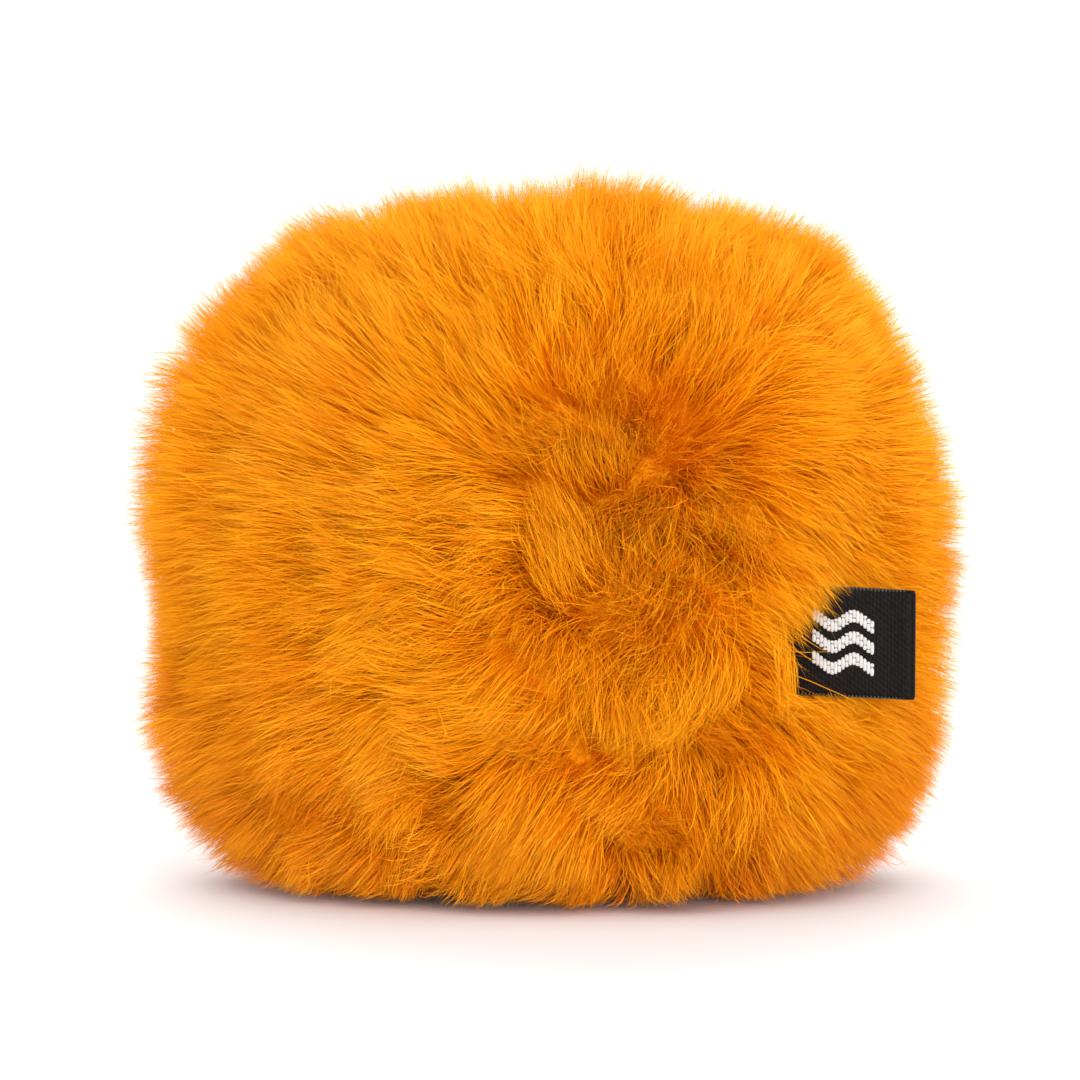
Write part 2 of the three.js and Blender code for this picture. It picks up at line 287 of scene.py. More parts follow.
class Noise:
    """Smooth vector noise on a lattice that repeats every CELLS cells."""

    CELLS = 24

    def __init__(self, wavelength):
        self.wavelength = wavelength
        self.lattice = rng.uniform(-1, 1, (self.CELLS,) * 3 + (3,))

    def __call__(self, points):
        at = points / self.wavelength + 100
        low = np.floor(at).astype(int)
        part = at - low
        part = part * part * (3 - 2 * part)
        total = np.zeros_like(points)
        for corner in np.ndindex(2, 2, 2):
            pick = (low + corner) % self.CELLS
            weight = np.prod(np.where(corner, part, 1 - part), axis=1)
            total += self.lattice[pick[:, 0], pick[:, 1], pick[:, 2]] * weight[:, None]
        return total


broad_noise = Noise(7.0)
tuft_noise = Noise(1.5)
lock_noise = Noise(2.6)
fine_noise = Noise(0.9)


# ---- How the pile lies ----


def from_seam(azimuth):
    """The signed angle from the side seam."""
    return (azimuth - SEAM_AZIMUTH + math.pi) % (2 * math.pi) - math.pi


def near(value, centre, width):
    """1 at the centre, falling smoothly to 0 over the width."""
    return np.exp(-(((value - centre) / width) ** 2))


def comb(azimuth, s, roots):
    """The sideways and upward lean that brushing, the seams and the label have left in the pile."""
    r, z, _ = meridian(s)
    crown = s - CROWN_START
    sideways = np.zeros(len(s))
    upward = np.clip(LEAN_PER_MM * (z - LEVEL_HEIGHT), *LEAN_LIMITS) * (crown < 0)
    for around, height, reach_round, reach_up, add_side, add_up in STROKES:
        turn = (azimuth - math.radians(around) + math.pi) % (2 * math.pi) - math.pi
        weight = near(turn * CAN_R, 0, reach_round) * near(z, height, reach_up)
        sideways += weight * add_side
        upward += weight * add_up
    past_seam = from_seam(azimuth) * r
    parting = SEAM_PARTING * np.tanh(past_seam / 0.8) * np.exp(-np.abs(past_seam) / SEAM_PARTING_REACH)
    crown_parting = CROWN_PARTING * np.sign(crown) * np.exp(-np.abs(crown) / CROWN_PARTING_REACH)
    on_top = np.clip(r / (CAN_R - SHOULDER_R), 0, 1) * np.clip(crown / 2.5, 0, 1)
    untidy = tousled(azimuth, z)[:, None]
    swirl = broad_noise(roots) * BROAD_SWIRL
    swirl += lock_noise(roots) * LOCK_SWIRL * (1 + TOUSLED_SWIRL * untidy)
    toss = tuft_noise(roots)
    swirl += TOSS * untidy * toss / (np.linalg.norm(toss[:, :2], axis=1, keepdims=True) + 0.12)
    sideways = sideways + parting + swirl[:, 0]
    upward = upward - OUTWARD_ON_TOP * on_top + crown_parting + swirl[:, 1]
    return sideways, upward


def tousled(azimuth, z):
    """How untidy the pile is, from 0 to 1.

    It is calm round the sides and back, and tousled in front, along the skirt and a little on the crown.
    """
    crown = TOUSLED_CROWN * near(z, CAN_TOP, TOUSLED_CROWN_REACH)
    patches = [near(azimuth, turn, width) * near(z, up, reach) for turn, width, up, reach in TOUSLED]
    return np.maximum.reduce([crown, *patches])


def trimmed(s, roots):
    """The pile's cut length along the meridian: short at the hem, a little longer on the crown."""
    r, _, _ = meridian(s)
    on_shoulder = near(s, WALL_END + SHOULDER_R * 0.75, 3.0)
    on_crown = near(r, 0, 6.5) * (s > CROWN_START)
    at_hem = np.clip(1 - s / 5.5, 0, 1)
    uneven = REGIONS_UNEVEN * broad_noise(roots * 1.3)[:, 2] + LOCKS_UNEVEN * lock_noise(roots)[:, 2]
    for place, reach, extra in UNEVEN:
        uneven += extra * near(np.linalg.norm(roots - place, axis=1), 0, reach)
    return PILE * (1 - SHOULDER_TRIM * on_shoulder + CROWN_EXTRA * on_crown - HEM_TRIM * at_hem + uneven)


def places(azimuth, s):
    """Points on the backing at azimuths and arc lengths."""
    r, z, _ = meridian(s)
    return np.stack([r * np.sin(azimuth), -r * np.cos(azimuth), z], 1)


def strand_paths(azimuth, s, length, unruly):
    """Points along strands rooted at these places: an array of strand, station and coordinate."""
    slope = meridian(s)[2]
    normal, side, rise = local_axes(azimuth, slope)
    roots = places(azimuth, s)
    sideways, upward = comb(azimuth, s, roots)
    lean = side * sideways[:, None] + rise * upward[:, None] + fine_noise(roots) * FINE_SWIRL
    lean = lean + rng.normal(0, 1, roots.shape) * unruly[:, None]
    curl = rng.normal(0, 1, roots.shape) * (CURL + UNRULY_CURL * unruly[:, None])
    count = len(s)
    paths = np.zeros((count, STATIONS, 3))
    paths[:, 0] = roots
    step = length / (STATIONS - 1)
    droop = np.array([0.0, 0.0, -DROOP])
    for k in range(1, STATIONS):
        t = (k - 0.5) / (STATIONS - 1)
        bend = normal + lean * (LEAN_AT_ROOT + LEAN_ALONG * t) + (droop + curl) * t * t
        paths[:, k] = paths[:, k - 1] + unit(bend) * step[:, None]
    return paths


def nearest(points, centres):
    """The number of the centre that each point is nearest to."""
    tree = KDTree(len(centres))
    for i, centre in enumerate(centres):
        tree.insert(centre, i)
    tree.balance()
    return np.array([tree.find(point)[1] for point in points])


def gather(paths, azimuth, spacing, start, end, strength, wild):
    """Draws strands towards the middle strand of the lock that each is rooted in, but not over the seam."""
    area = 2 * math.pi * CAN_R * (end - start)
    count = max(8, int(area / spacing**2))
    lock_azimuth, lock_s = scatter(count, start, end)
    lock_length = trimmed(lock_s, places(lock_azimuth, lock_s)) * rng.uniform(*LOCK_LENGTHS, count)
    lock_unruly = LOCK_UNRULY + wild * tousled(lock_azimuth, meridian(lock_s)[1])
    locks = strand_paths(lock_azimuth, lock_s, lock_length, lock_unruly)
    member = nearest(paths[:, 0], locks[:, 0])
    pull = strength * rng.uniform(*LOCK_PULLS, count)[member] * rng.uniform(*STRAND_PULLS, len(paths))
    pull = pull * (CALM_PULL + TOUSLED_PULL * tousled(azimuth, paths[:, 0, 2]))
    same_side = np.sign(from_seam(azimuth)) == np.sign(from_seam(lock_azimuth[member]))
    far_from_seam = np.abs(from_seam(azimuth)) > 1.2
    pull = np.where(same_side | far_from_seam, pull, 0)
    t = np.linspace(0, 1, STATIONS)
    weight = pull[:, None] * t[None, :] ** PULL_RISE
    return paths + (locks[member] - paths) * weight[:, :, None], member


def by_label(points):
    """Points as their reach from the hinge along the label, their depth behind it, and their height."""
    offset = points[..., :2] - hinge[:2]
    return offset @ LABEL_ALONG, offset @ LABEL_BACK, points[..., 2]


def from_label(reach, depth, height):
    """The points that by_label turns into these numbers."""
    along = np.asarray(reach)[..., None] * LABEL_ALONG
    back = np.asarray(depth)[..., None] * LABEL_BACK
    flat = hinge[:2] + along + back
    return np.concatenate([flat, np.asarray(height)[..., None]], axis=-1)


def cut_short(paths, beyond):
    """Ends each strand where `beyond`, which is negative on the allowed side, first turns positive."""
    crossed = beyond > 0
    first = np.argmax(crossed, axis=1)
    hit = crossed.any(axis=1) & (first > 0)
    row = np.arange(len(paths))
    before = beyond[row, np.maximum(first - 1, 0)]
    after = beyond[row, first]
    share = before / np.where(before == after, 1, before - after)
    end = np.where(hit, np.maximum(first - 1 + share, 0.5), STATIONS - 1.0)
    at = end[:, None] * np.linspace(0, 1, STATIONS)[None, :]
    low = np.minimum(at.astype(int), STATIONS - 2)
    part = (at - low)[:, :, None]
    return paths[row[:, None], low] * (1 - part) + paths[row[:, None], low + 1] * part


def clear_label(paths):
    """The label holds apart the strands behind it and those before it.

    Strands rooted beside it turn down along its near end, strands rooted above it hang over its near
    corner, and a few loose ones lie over its face.
    """
    reach, depth, height = by_label(paths)
    beside = (reach > -0.3) & (reach < LABEL_LENGTH + 0.6)
    level = (height > label_low[2] - 0.3) & (height < label_high[2] + 0.3)
    touched = beside & level
    first = np.argmax(touched, axis=1)
    first_depth = np.take_along_axis(depth, first[:, None], 1)
    in_front = touched.any(1) & (first_depth[:, 0] < 0)
    uneven = rng.normal(0, 1, len(paths))[:, None]
    loose = rng.random(len(paths)) < LOOSE_OVER_LABEL
    from_above = in_front & (height[:, 0] > label_high[2])
    from_below = in_front & (height[:, 0] < label_low[2])
    covered = COVERED + COVER_UNEVEN * uneven
    held = (in_front & ~from_above & ~from_below & ~loose)[:, None] & level
    new_reach = np.where(held, np.minimum(reach, covered + COVER_LIFTED * (reach - covered)), reach)
    new_height = height - np.where(held, COVER_TURNED_DOWN * (reach - new_reach), 0)
    behind = touched & ~in_front[:, None]
    before = touched & in_front[:, None]
    new_depth = np.where(behind, np.maximum(depth, BEHIND_LABEL), depth)
    new_depth = np.where(before, np.minimum(new_depth, BEFORE_LABEL), new_depth)
    paths = from_label(new_reach, new_depth, new_height)
    over_face = beside & (reach > COVERED - 0.25)
    past_corner = np.maximum(reach - HANG_FROM, 0)
    hang = HANG * np.exp(-past_corner / HANG_WIDTH) * (1 + HANG_UNEVEN * uneven) - 0.10
    below_hang = np.where(over_face, label_high[2] - hang - height, -1)
    above_sill = np.where(over_face, height - label_low[2] + 0.15 * np.abs(uneven), -1)
    paths = np.where((from_above & ~loose)[:, None, None], cut_short(paths, below_hang), paths)
    return np.where((from_below & ~loose)[:, None, None], cut_short(paths, above_sill), paths)


def in_label_way(paths):
    """Which strands reach into the space that the label swings through."""
    reach, depth, height = by_label(paths)
    swung = np.arctan2(-depth, reach)
    far = np.hypot(reach, depth)
    margin = 0.5
    turned_over = (swung > -0.05) & (swung < LABEL_SWING + 0.1)
    within = (far > 0.4) & (far < LABEL_LENGTH + margin)
    level = (height > label_low[2] - margin) & (height < label_high[2] + margin)
    return (turned_over & within & level).any(axis=1)


def rest_on_floor(paths):
    """The skirt's strands turn aside where they meet the surface that the windscreen stands on."""
    lowest, uneven, soft = 0.06, 0.5, 0.8
    floor = lowest + uneven * rng.random((len(paths), 1)) ** 2
    z = paths[:, :, 2]
    over = z - floor
    eased = np.where(over < soft, floor + soft * np.exp(np.minimum(over - soft, 0) / soft), z)
    paths[:, :, 2] = np.maximum(eased, 0.04)
    return paths


# ---- Meshes ----


def new_mesh(name, vertices, loops, sizes, uv=None):
    """A mesh object from arrays: vertices in millimetres, corner indices, and corners in each face."""
    mesh = bpy.data.meshes.new(name)
    mesh.vertices.add(len(vertices))
    mesh.vertices.foreach_set("co", (np.asarray(vertices) * MM).astype(np.float32).ravel())
    mesh.loops.add(len(loops))
    mesh.loops.foreach_set("vertex_index", np.asarray(loops, np.int32))
    mesh.polygons.add(len(sizes))
    starts = np.concatenate([[0], np.cumsum(sizes)[:-1]]).astype(np.int32)
    mesh.polygons.foreach_set("loop_start", starts)
    mesh.update(calc_edges=True)
    if uv is not None:
        layer = mesh.uv_layers.new(name="OFBake")
        layer.data.foreach_set("uv", np.asarray(uv, np.float32).ravel())
    mesh.polygons.foreach_set("use_smooth", np.ones(len(sizes), bool))
    mesh.validate()
    obj = bpy.data.objects.new(name, mesh)
    bpy.context.scene.collection.objects.link(obj)
    return obj


def ribbons(name, paths, widths, shade, material):
    """Tapered ribbons along paths, each coloured by one of SHADES columns of its material."""
    count = len(paths)
    along = unit(np.gradient(paths, axis=1))
    facing = unit(rng.normal(0, 1, (count, 1, 3)))
    across = unit(np.cross(along, facing))
    t = np.linspace(0, 1, STATIONS)
    taper = np.sqrt(1 - 0.93 * t**2)
    half = across * (widths[:, None] * taper[None, :] / 2)[:, :, None]
    left, right = paths - half, paths + half
    pairs = np.stack([left[:, :-1], right[:, :-1]], 2).reshape(count, -1, 3)
    vertices = np.concatenate([pairs, paths[:, -1:]], 1)
    per = vertices.shape[1]
    quads = np.array([[2 * k, 2 * k + 1, 2 * k + 3, 2 * k + 2] for k in range(STATIONS - 2)])
    tip = np.array([per - 3, per - 2, per - 1])
    corners = np.concatenate([quads.ravel(), tip])
    loops = (corners[None, :] + per * np.arange(count)[:, None]).ravel()
    sizes = np.tile([4] * (STATIONS - 2) + [3], count)
    left_edge, right_edge = 0.15, 0.85
    u = (shade[:, None] + np.where(np.arange(per) % 2, right_edge, left_edge)[None, :]) / SHADES
    v = np.append(np.repeat(t[:-1], 2), 1.0)
    uv = np.stack([u, np.broadcast_to(v, u.shape)], 2)[:, corners]
    obj = new_mesh(name, vertices.reshape(-1, 3), loops, sizes, uv.reshape(-1, 2))
    obj.data.materials.append(material)
    return obj


# A layer's map has its outside in the lower half, its inside in the upper half, and a strip for its rims.
MAP_HEIGHT = 0.46
OUTSIDE_AT = 0.02
INSIDE_AT = 0.52
RIM_HEIGHT = 0.015


def layer(name, outer, inner, material, ring=False):
    """A closed layer between two grids of points. A ring's last column meets its first."""
    rows, columns = outer.shape[:2]
    under = rows * columns
    row, column = np.meshgrid(np.arange(rows - 1), np.arange(columns - (not ring)), indexing="ij")
    a = row * columns + column
    b = row * columns + (column + 1) % columns
    c, d = b + columns, a + columns
    u = np.stack([column, column + 1, column + 1, column], 2) / columns
    v = np.stack([row, row, row + 1, row + 1], 2) / (rows - 1) * MAP_HEIGHT
    quads = [np.stack([a, b, c, d], 2), np.stack([d, c, b, a], 2) + under]
    outside = np.stack([u, v + OUTSIDE_AT], 3)
    inside = np.stack([u[..., ::-1], v[..., ::-1] + INSIDE_AT], 3)
    places_on_map = [outside, inside]

    def close(first, second, on_map):
        quads.append(np.stack([first, second, second + under, first + under], -1))
        rim = np.stack([on_map[..., 0, :], on_map[..., 1, :]] * 2, -2)
        rim[..., 2:, 1] += RIM_HEIGHT
        places_on_map.append(rim[..., [0, 1, 3, 2], :])

    close(b[0], a[0], outside[0][:, [1, 0]])
    close(d[-1], c[-1], outside[-1][:, [3, 2]])
    if not ring:
        close(a[:, 0], d[:, 0], outside[:, 0][:, [0, 3]])
        close(c[:, -1], b[:, -1], outside[:, -1][:, [2, 1]])
    corners = np.concatenate([q.reshape(-1, 4) for q in quads])
    uv = np.concatenate([m.reshape(-1, 2) for m in places_on_map])
    vertices = np.concatenate([outer.reshape(-1, 3), inner.reshape(-1, 3)])
    obj = new_mesh(name, vertices, corners.ravel(), np.full(len(corners), 4), uv)
    obj.data.materials.append(material)
    return obj


def shell(name, start, end, inner, outer, material, step=0.5):
    """A layer over the backing between two arc lengths, from offset inner to offset outer.

    The outer offset is a number, or a function of places on the backing.
    """
    around = 160
    rows = max(3, int((end - start) / step))
    azimuth, s = np.meshgrid(
        np.linspace(-math.pi, math.pi, around, endpoint=False), np.linspace(start, end, rows)
    )
    azimuth, s = azimuth.ravel(), s.ravel()
    normal, _, _ = local_axes(azimuth, meridian(s)[2])
    base = places(azimuth, s)
    lift = outer(base) if callable(outer) else np.full(len(base), float(outer))
    grid = (rows, around, 3)
    outside = (base + normal * lift[:, None]).reshape(grid)
    return layer(name, outside, (base + normal * inner).reshape(grid), material, ring=True)


def tube(around, rows):
    """The faces of rings of points that join one above the other, and of the two points that close them.

    They are corner indices, and the number of corners in each face.
    """
    column = np.arange(around)
    beside = (column + 1) % around
    band = np.stack([column, beside, beside + around, column + around], 1)
    quads = np.concatenate([band + k * around for k in range(rows - 1)])
    last = (rows - 1) * around
    first_pole, last_pole = rows * around, rows * around + 1
    first_end = np.stack([beside, column, np.full(around, first_pole)], 1)
    last_end = np.stack([column + last, beside + last, np.full(around, last_pole)], 1)
    corners = np.concatenate([quads.ravel(), first_end.ravel(), last_end.ravel()])
    return corners, [4] * len(quads) + [3] * (2 * around)


def turned(name, profile, material, roughen, around=96):
    """A solid turned about the vertical, its surface moved by roughen.

    Its profile of radius and height starts and ends on the axis.
    """
    azimuth = np.linspace(0, 2 * math.pi, around, endpoint=False)
    inner = np.array(profile[1:-1])
    rings = np.stack(
        [
            inner[:, :1] * np.sin(azimuth),
            -inner[:, :1] * np.cos(azimuth),
            np.broadcast_to(inner[:, 1:], (len(inner), around)),
        ],
        2,
    ).reshape(-1, 3)
    poles = np.array([[0, 0, profile[0][1]], [0, 0, profile[-1][1]]], float)
    corners, sizes = tube(around, len(inner))
    obj = new_mesh(name, np.concatenate([roughen(rings), poles]), corners, sizes)
    obj.data.materials.append(material)
    return obj


def beads(name, centres, halves, material, stations=7, around=8):
    """Rounded lengths of thread in label coordinates: each has a centre and half sizes."""
    height = np.sin(np.linspace(-math.pi / 2, math.pi / 2, stations))[1:-1]
    radius = (1 - np.abs(height) ** 4) ** 0.5
    angle = np.linspace(0, 2 * math.pi, around, endpoint=False)
    ring = np.stack([np.outer(radius, np.cos(angle)), np.outer(radius, np.sin(angle))], 2)
    ring = np.concatenate([ring, np.broadcast_to(height[:, None, None], ring.shape[:2] + (1,))], 2)
    shape = np.concatenate([ring.reshape(-1, 3), [[0, 0, -1.0], [0, 0, 1.0]]])
    corners, sizes = tube(around, len(height))
    count = len(centres)
    points = np.asarray(centres)[:, None, :] + shape[None] * np.asarray(halves)[:, None, :]
    vertices = hung(points[..., 0], points[..., 1], points[..., 2]).reshape(-1, 3)
    loops = (corners[None, :] + len(shape) * np.arange(count)[:, None]).ravel()
    obj = new_mesh(name, vertices, loops, np.tile(sizes, count))
    obj.data.materials.append(material)
    return obj


# ---- Materials ----


def principled(name, roughness=0.5, specular=0.5):
    """A new material, its node tree and its shader."""
    material = bpy.data.materials.new(name)
    material.use_nodes = True
    shader = material.node_tree.nodes["Principled BSDF"]
    shader.inputs["Roughness"].default_value = roughness
    shader.inputs["Specular IOR Level"].default_value = specular
    return material, material.node_tree, shader


def node(tree, kind, **settings):
    """A new shader node with these settings."""
    made = tree.nodes.new("ShaderNode" + kind)
    for name, value in settings.items():
        setattr(made, name, value)
    return made


def feed(tree, value, socket):
    """Gives a socket another node's output, or a plain number."""
    if isinstance(value, bpy.types.NodeSocket):
        tree.links.new(value, socket)
    else:
        socket.default_value = value


def calculate(tree, operation, *values):
    """A calculation on sockets and plain numbers."""
    made = node(tree, "Math", operation=operation)
    for value, socket in zip(values, made.inputs):
        feed(tree, value, socket)
    return made.outputs["Value"]


def ramp(tree, source, stops):
    """Colours for the source's values, smooth between the stops."""
    made = node(tree, "ValToRGB")
    elements = made.color_ramp.elements
    while len(elements) < len(stops):
        elements.new(0.5)
    for element, (position, colour) in zip(elements, stops):
        element.position = position
        element.color = (*colour, 1.0)
    tree.links.new(source, made.inputs["Fac"])
    return made.outputs["Color"]


def grey_ramp(tree, source, low, high):
    """The source's range from 0 to 1 brought to the range from low to high."""
    return ramp(tree, source, [(0.0, (low,) * 3), (1.0, (high,) * 3)])


def multiply(tree, a, b):
    """The product of two colours."""
    made = node(tree, "Mix", data_type="RGBA", blend_type="MULTIPLY")
    made.inputs["Factor"].default_value = 1.0
    tree.links.new(a, made.inputs["A"])
    tree.links.new(b, made.inputs["B"])
    return made.outputs["Result"]


def millimetres(tree, turn=0.0):
    """Object coordinates in millimetres, turned about the vertical: the vector and its three numbers."""
    mapping = node(tree, "Mapping")
    mapping.inputs["Scale"].default_value = (1 / MM,) * 3
    mapping.inputs["Rotation"].default_value = (0, 0, turn)
    tree.links.new(node(tree, "TexCoord").outputs["Object"], mapping.inputs["Vector"])
    parts = node(tree, "SeparateXYZ")
    tree.links.new(mapping.outputs["Vector"], parts.inputs["Vector"])
    return mapping.outputs["Vector"], parts.outputs


def noise(tree, vector, scale, detail=3.0):
    """Procedural noise, with scale in cells for each millimetre."""
    made = node(tree, "TexNoise")
    tree.links.new(vector, made.inputs["Vector"])
    made.inputs["Scale"].default_value = scale
    made.inputs["Detail"].default_value = detail
    return made.outputs["Fac"]


def ridges(tree, coordinate, pitch):
    """Parallel threads a pitch apart, from 0 between them to 1 on top."""
    wave = calculate(tree, "SINE", calculate(tree, "MULTIPLY", coordinate, 2 * math.pi / pitch))
    return calculate(tree, "MULTIPLY_ADD", wave, 0.5, 0.5)


def bump(tree, shader, height, depth):
    """Gives a shader's surface relief of this depth in millimetres."""
    made = node(tree, "Bump")
    made.inputs["Distance"].default_value = depth * MM
    tree.links.new(height, made.inputs["Height"])
    tree.links.new(made.outputs["Normal"], shader.inputs["Normal"])


def fur_material():
    """Dyed fibre: redder and duller at the root, which is painted shade deep in the pile, paler at the tip,
    and no two locks quite the same.
    """
    material, tree, shader = principled("fur_fibre", specular=0.12)
    uv = node(tree, "UVMap", uv_map="OFBake")
    parts = node(tree, "SeparateXYZ")
    tree.links.new(uv.outputs["UV"], parts.inputs["Vector"])
    # From root to tip: the redder, duller root is painted shade deep in the pile.
    along = ramp(
        tree,
        parts.outputs["Y"],
        [
            (0.0, (0.95, 0.240, 0.0005)),
            (0.35, (0.97, 0.310, 0.0008)),
            (0.75, (0.97, 0.392, 0.0015)),
            (1.0, (0.99, 0.500, 0.0160)),
        ],
    )
    shade = ramp(
        tree,
        parts.outputs["X"],
        [(0.0, (0.84, 0.56, 0.4)), (0.5, (0.95, 0.87, 0.8)), (1.0, (1.0, 1.0, 1.0))],
    )
    tree.links.new(multiply(tree, along, shade), shader.inputs["Base Color"])
    tree.links.new(grey_ramp(tree, parts.outputs["Y"], 0.70, 0.48), shader.inputs["Roughness"])
    return material


def wool_material():
    """The dense undercoat that hides the backing."""
    material, tree, shader = principled("wool_undercoat", 0.9, specular=0.1)
    vector, _ = millimetres(tree)
    tufts = noise(tree, vector, 1.6, 6.0)
    colour = ramp(tree, tufts, [(0.3, (0.84, 0.230, 0.0010)), (0.7, (0.95, 0.360, 0.0020))])
    tree.links.new(colour, shader.inputs["Base Color"])
    bump(tree, shader, noise(tree, vector, 5.0, 5.0), 0.25)
    return material


def knit_material():
    """The knitted backing: wales round the can and courses up it, in the same dye as the pile."""
    wale_count = 110
    course_count = 36
    material, tree, shader = principled("knitted_backing", 0.85, specular=0.15)
    uv = node(tree, "UVMap", uv_map="OFBake")
    parts = node(tree, "SeparateXYZ")
    tree.links.new(uv.outputs["UV"], parts.inputs["Vector"])
    wales = ridges(tree, parts.outputs["X"], 1 / wale_count)
    slant = calculate(tree, "MULTIPLY_ADD", parts.outputs["X"], 0.8, parts.outputs["Y"])
    courses = ridges(tree, slant, MAP_HEIGHT / course_count)
    stitch = calculate(tree, "MULTIPLY", wales, courses)
    vector, _ = millimetres(tree)
    worn = calculate(tree, "MULTIPLY", stitch, noise(tree, vector, 0.8))
    colour = ramp(tree, worn, [(0.0, (0.36, 0.085, 0.004)), (0.6, (0.80, 0.300, 0.035))])
    tree.links.new(colour, shader.inputs["Base Color"])
    tree.links.new(grey_ramp(tree, stitch, 0.95, 0.75), shader.inputs["Roughness"])
    bump(tree, shader, stitch, 0.12)
    return material


def foam_material():
    """Open-cell foam: thin walls round dark pores of several sizes."""
    material, tree, shader = principled("open_cell_foam", 0.9, specular=0.2)
    vector, _ = millimetres(tree)
    pores = node(tree, "TexVoronoi", feature="F1")
    tree.links.new(vector, pores.inputs["Vector"])
    pores.inputs["Scale"].default_value = 2.2
    fine = noise(tree, vector, 4.0, 5.0)
    cells = calculate(tree, "ADD", pores.outputs["Distance"], calculate(tree, "MULTIPLY", fine, 0.5))
    colour = ramp(tree, cells, [(0.3, (0.004, 0.004, 0.004)), (1.0, (0.055, 0.055, 0.060))])
    tree.links.new(colour, shader.inputs["Base Color"])
    tree.links.new(grey_ramp(tree, fine, 0.80, 1.0), shader.inputs["Roughness"])
    bump(tree, shader, cells, 0.30)
    return material


def moulding_material():
    """Spark-eroded black nylon: a fine even grain with a faint flow pattern."""
    material, tree, shader = principled("textured_moulding", specular=0.4)
    vector, _ = millimetres(tree)
    grain = noise(tree, vector, 9.0, 4.0)
    flow = noise(tree, vector, 0.35)
    colour = ramp(tree, flow, [(0.3, (0.010, 0.010, 0.011)), (0.7, (0.020, 0.020, 0.021))])
    tree.links.new(colour, shader.inputs["Base Color"])
    tree.links.new(grey_ramp(tree, grain, 0.42, 0.66), shader.inputs["Roughness"])
    bump(tree, shader, grain, 0.02)
    return material


def thread_material(name, dark, light, pitch, turn=0.0):
    """Spun thread: plies that wind round it, and fibres of slightly different shades."""
    material, tree, shader = principled(name, specular=0.3)
    vector, parts = millimetres(tree, turn)
    slant = calculate(tree, "MULTIPLY_ADD", parts["X"], 0.7, parts["Z"])
    plies = ridges(tree, calculate(tree, "ADD", slant, calculate(tree, "MULTIPLY", parts["Y"], 0.7)), pitch)
    fibres = noise(tree, vector, 6.0, 4.0)
    twist = calculate(tree, "MULTIPLY_ADD", fibres, 0.5, calculate(tree, "MULTIPLY", plies, 0.5))
    tree.links.new(ramp(tree, twist, [(0.2, dark), (0.8, light)]), shader.inputs["Base Color"])
    tree.links.new(grey_ramp(tree, fibres, 0.45, 0.75), shader.inputs["Roughness"])
    bump(tree, shader, twist, pitch * 0.15)
    return material


def satin_material():
    """Black label satin: upright picks a thread pitch apart, crossed by the slanting line of the weave."""
    material, tree, shader = principled("label_satin", specular=0.07)
    turn = math.pi / 2 - LABEL_AZIMUTH
    vector, parts = millimetres(tree, turn)
    picks = ridges(tree, parts["X"], LABEL_PITCH)
    slant = calculate(tree, "MULTIPLY_ADD", parts["X"], 0.75, parts["Z"])
    twill = ridges(tree, slant, LABEL_PITCH * 1.6)
    weave = calculate(tree, "MULTIPLY_ADD", picks, 0.45, calculate(tree, "MULTIPLY", twill, 0.55))
    fluff = noise(tree, vector, 5.0, 5.0)
    tone = calculate(tree, "MULTIPLY_ADD", fluff, 0.75, calculate(tree, "MULTIPLY", weave, 0.25))
    colour = ramp(tree, tone, [(0.25, (0.0028, 0.0021, 0.0018)), (0.75, (0.0105, 0.0080, 0.0068))])
    tree.links.new(colour, shader.inputs["Base Color"])
    tree.links.new(grey_ramp(tree, tone, 0.60, 0.42), shader.inputs["Roughness"])
    bump(tree, shader, weave, 0.014)
    return material


# ---- Fur ----

fibre = fur_material()
thread = thread_material("sewing_thread", (0.55, 0.12, 0.002), (0.90, 0.36, 0.02), 0.22)


def placed(piece, body):
    """Puts a piece on a body."""
    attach(piece, body)
    return piece


def push_with_label(piece):
    """Bakes a piece's placement into its mesh."""
    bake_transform(piece)


def fibre_shades(azimuth, s, stray, tuft, lock):
    """Each strand's column in the colour map: its lock's tone, its own, painted shade towards the hem, and
    painted light higher up and where the pile is tousled.
    """
    untidy = tousled(azimuth, meridian(s)[1])
    tone = rng.normal(0, LOCKS_DIFFER, lock.max() + 1)[lock]
    tone += rng.normal(0, TUFTS_DIFFER, tuft.max() + 1)[tuft]
    tone += REGIONS_DIFFER * broad_noise(places(azimuth, s))[:, 0]
    tone += rng.normal(0, STRANDS_DIFFER, len(s)) * (1 + 0.5 * untidy)
    at_hem = np.clip(1 - s / PAINTED_HEM_SHADE_REACH, 0, 1)
    # Lighter for each millimetre up and darker at the hem: painted light and painted shade.
    tone += SHADE + PAINTED_LIGHT_PER_MM * (s - PAINTED_LIGHT_MIDDLE) - PAINTED_HEM_SHADE * at_hem
    # Tousled strands are lighter, painted light against the shade among them; strayed strands are lighter
    # too.
    tone += PAINTED_TOUSLED_LIGHT * untidy + STRAY_SHADE * stray
    return np.clip(tone * SHADES, 0, SHADES - 1).astype(int)


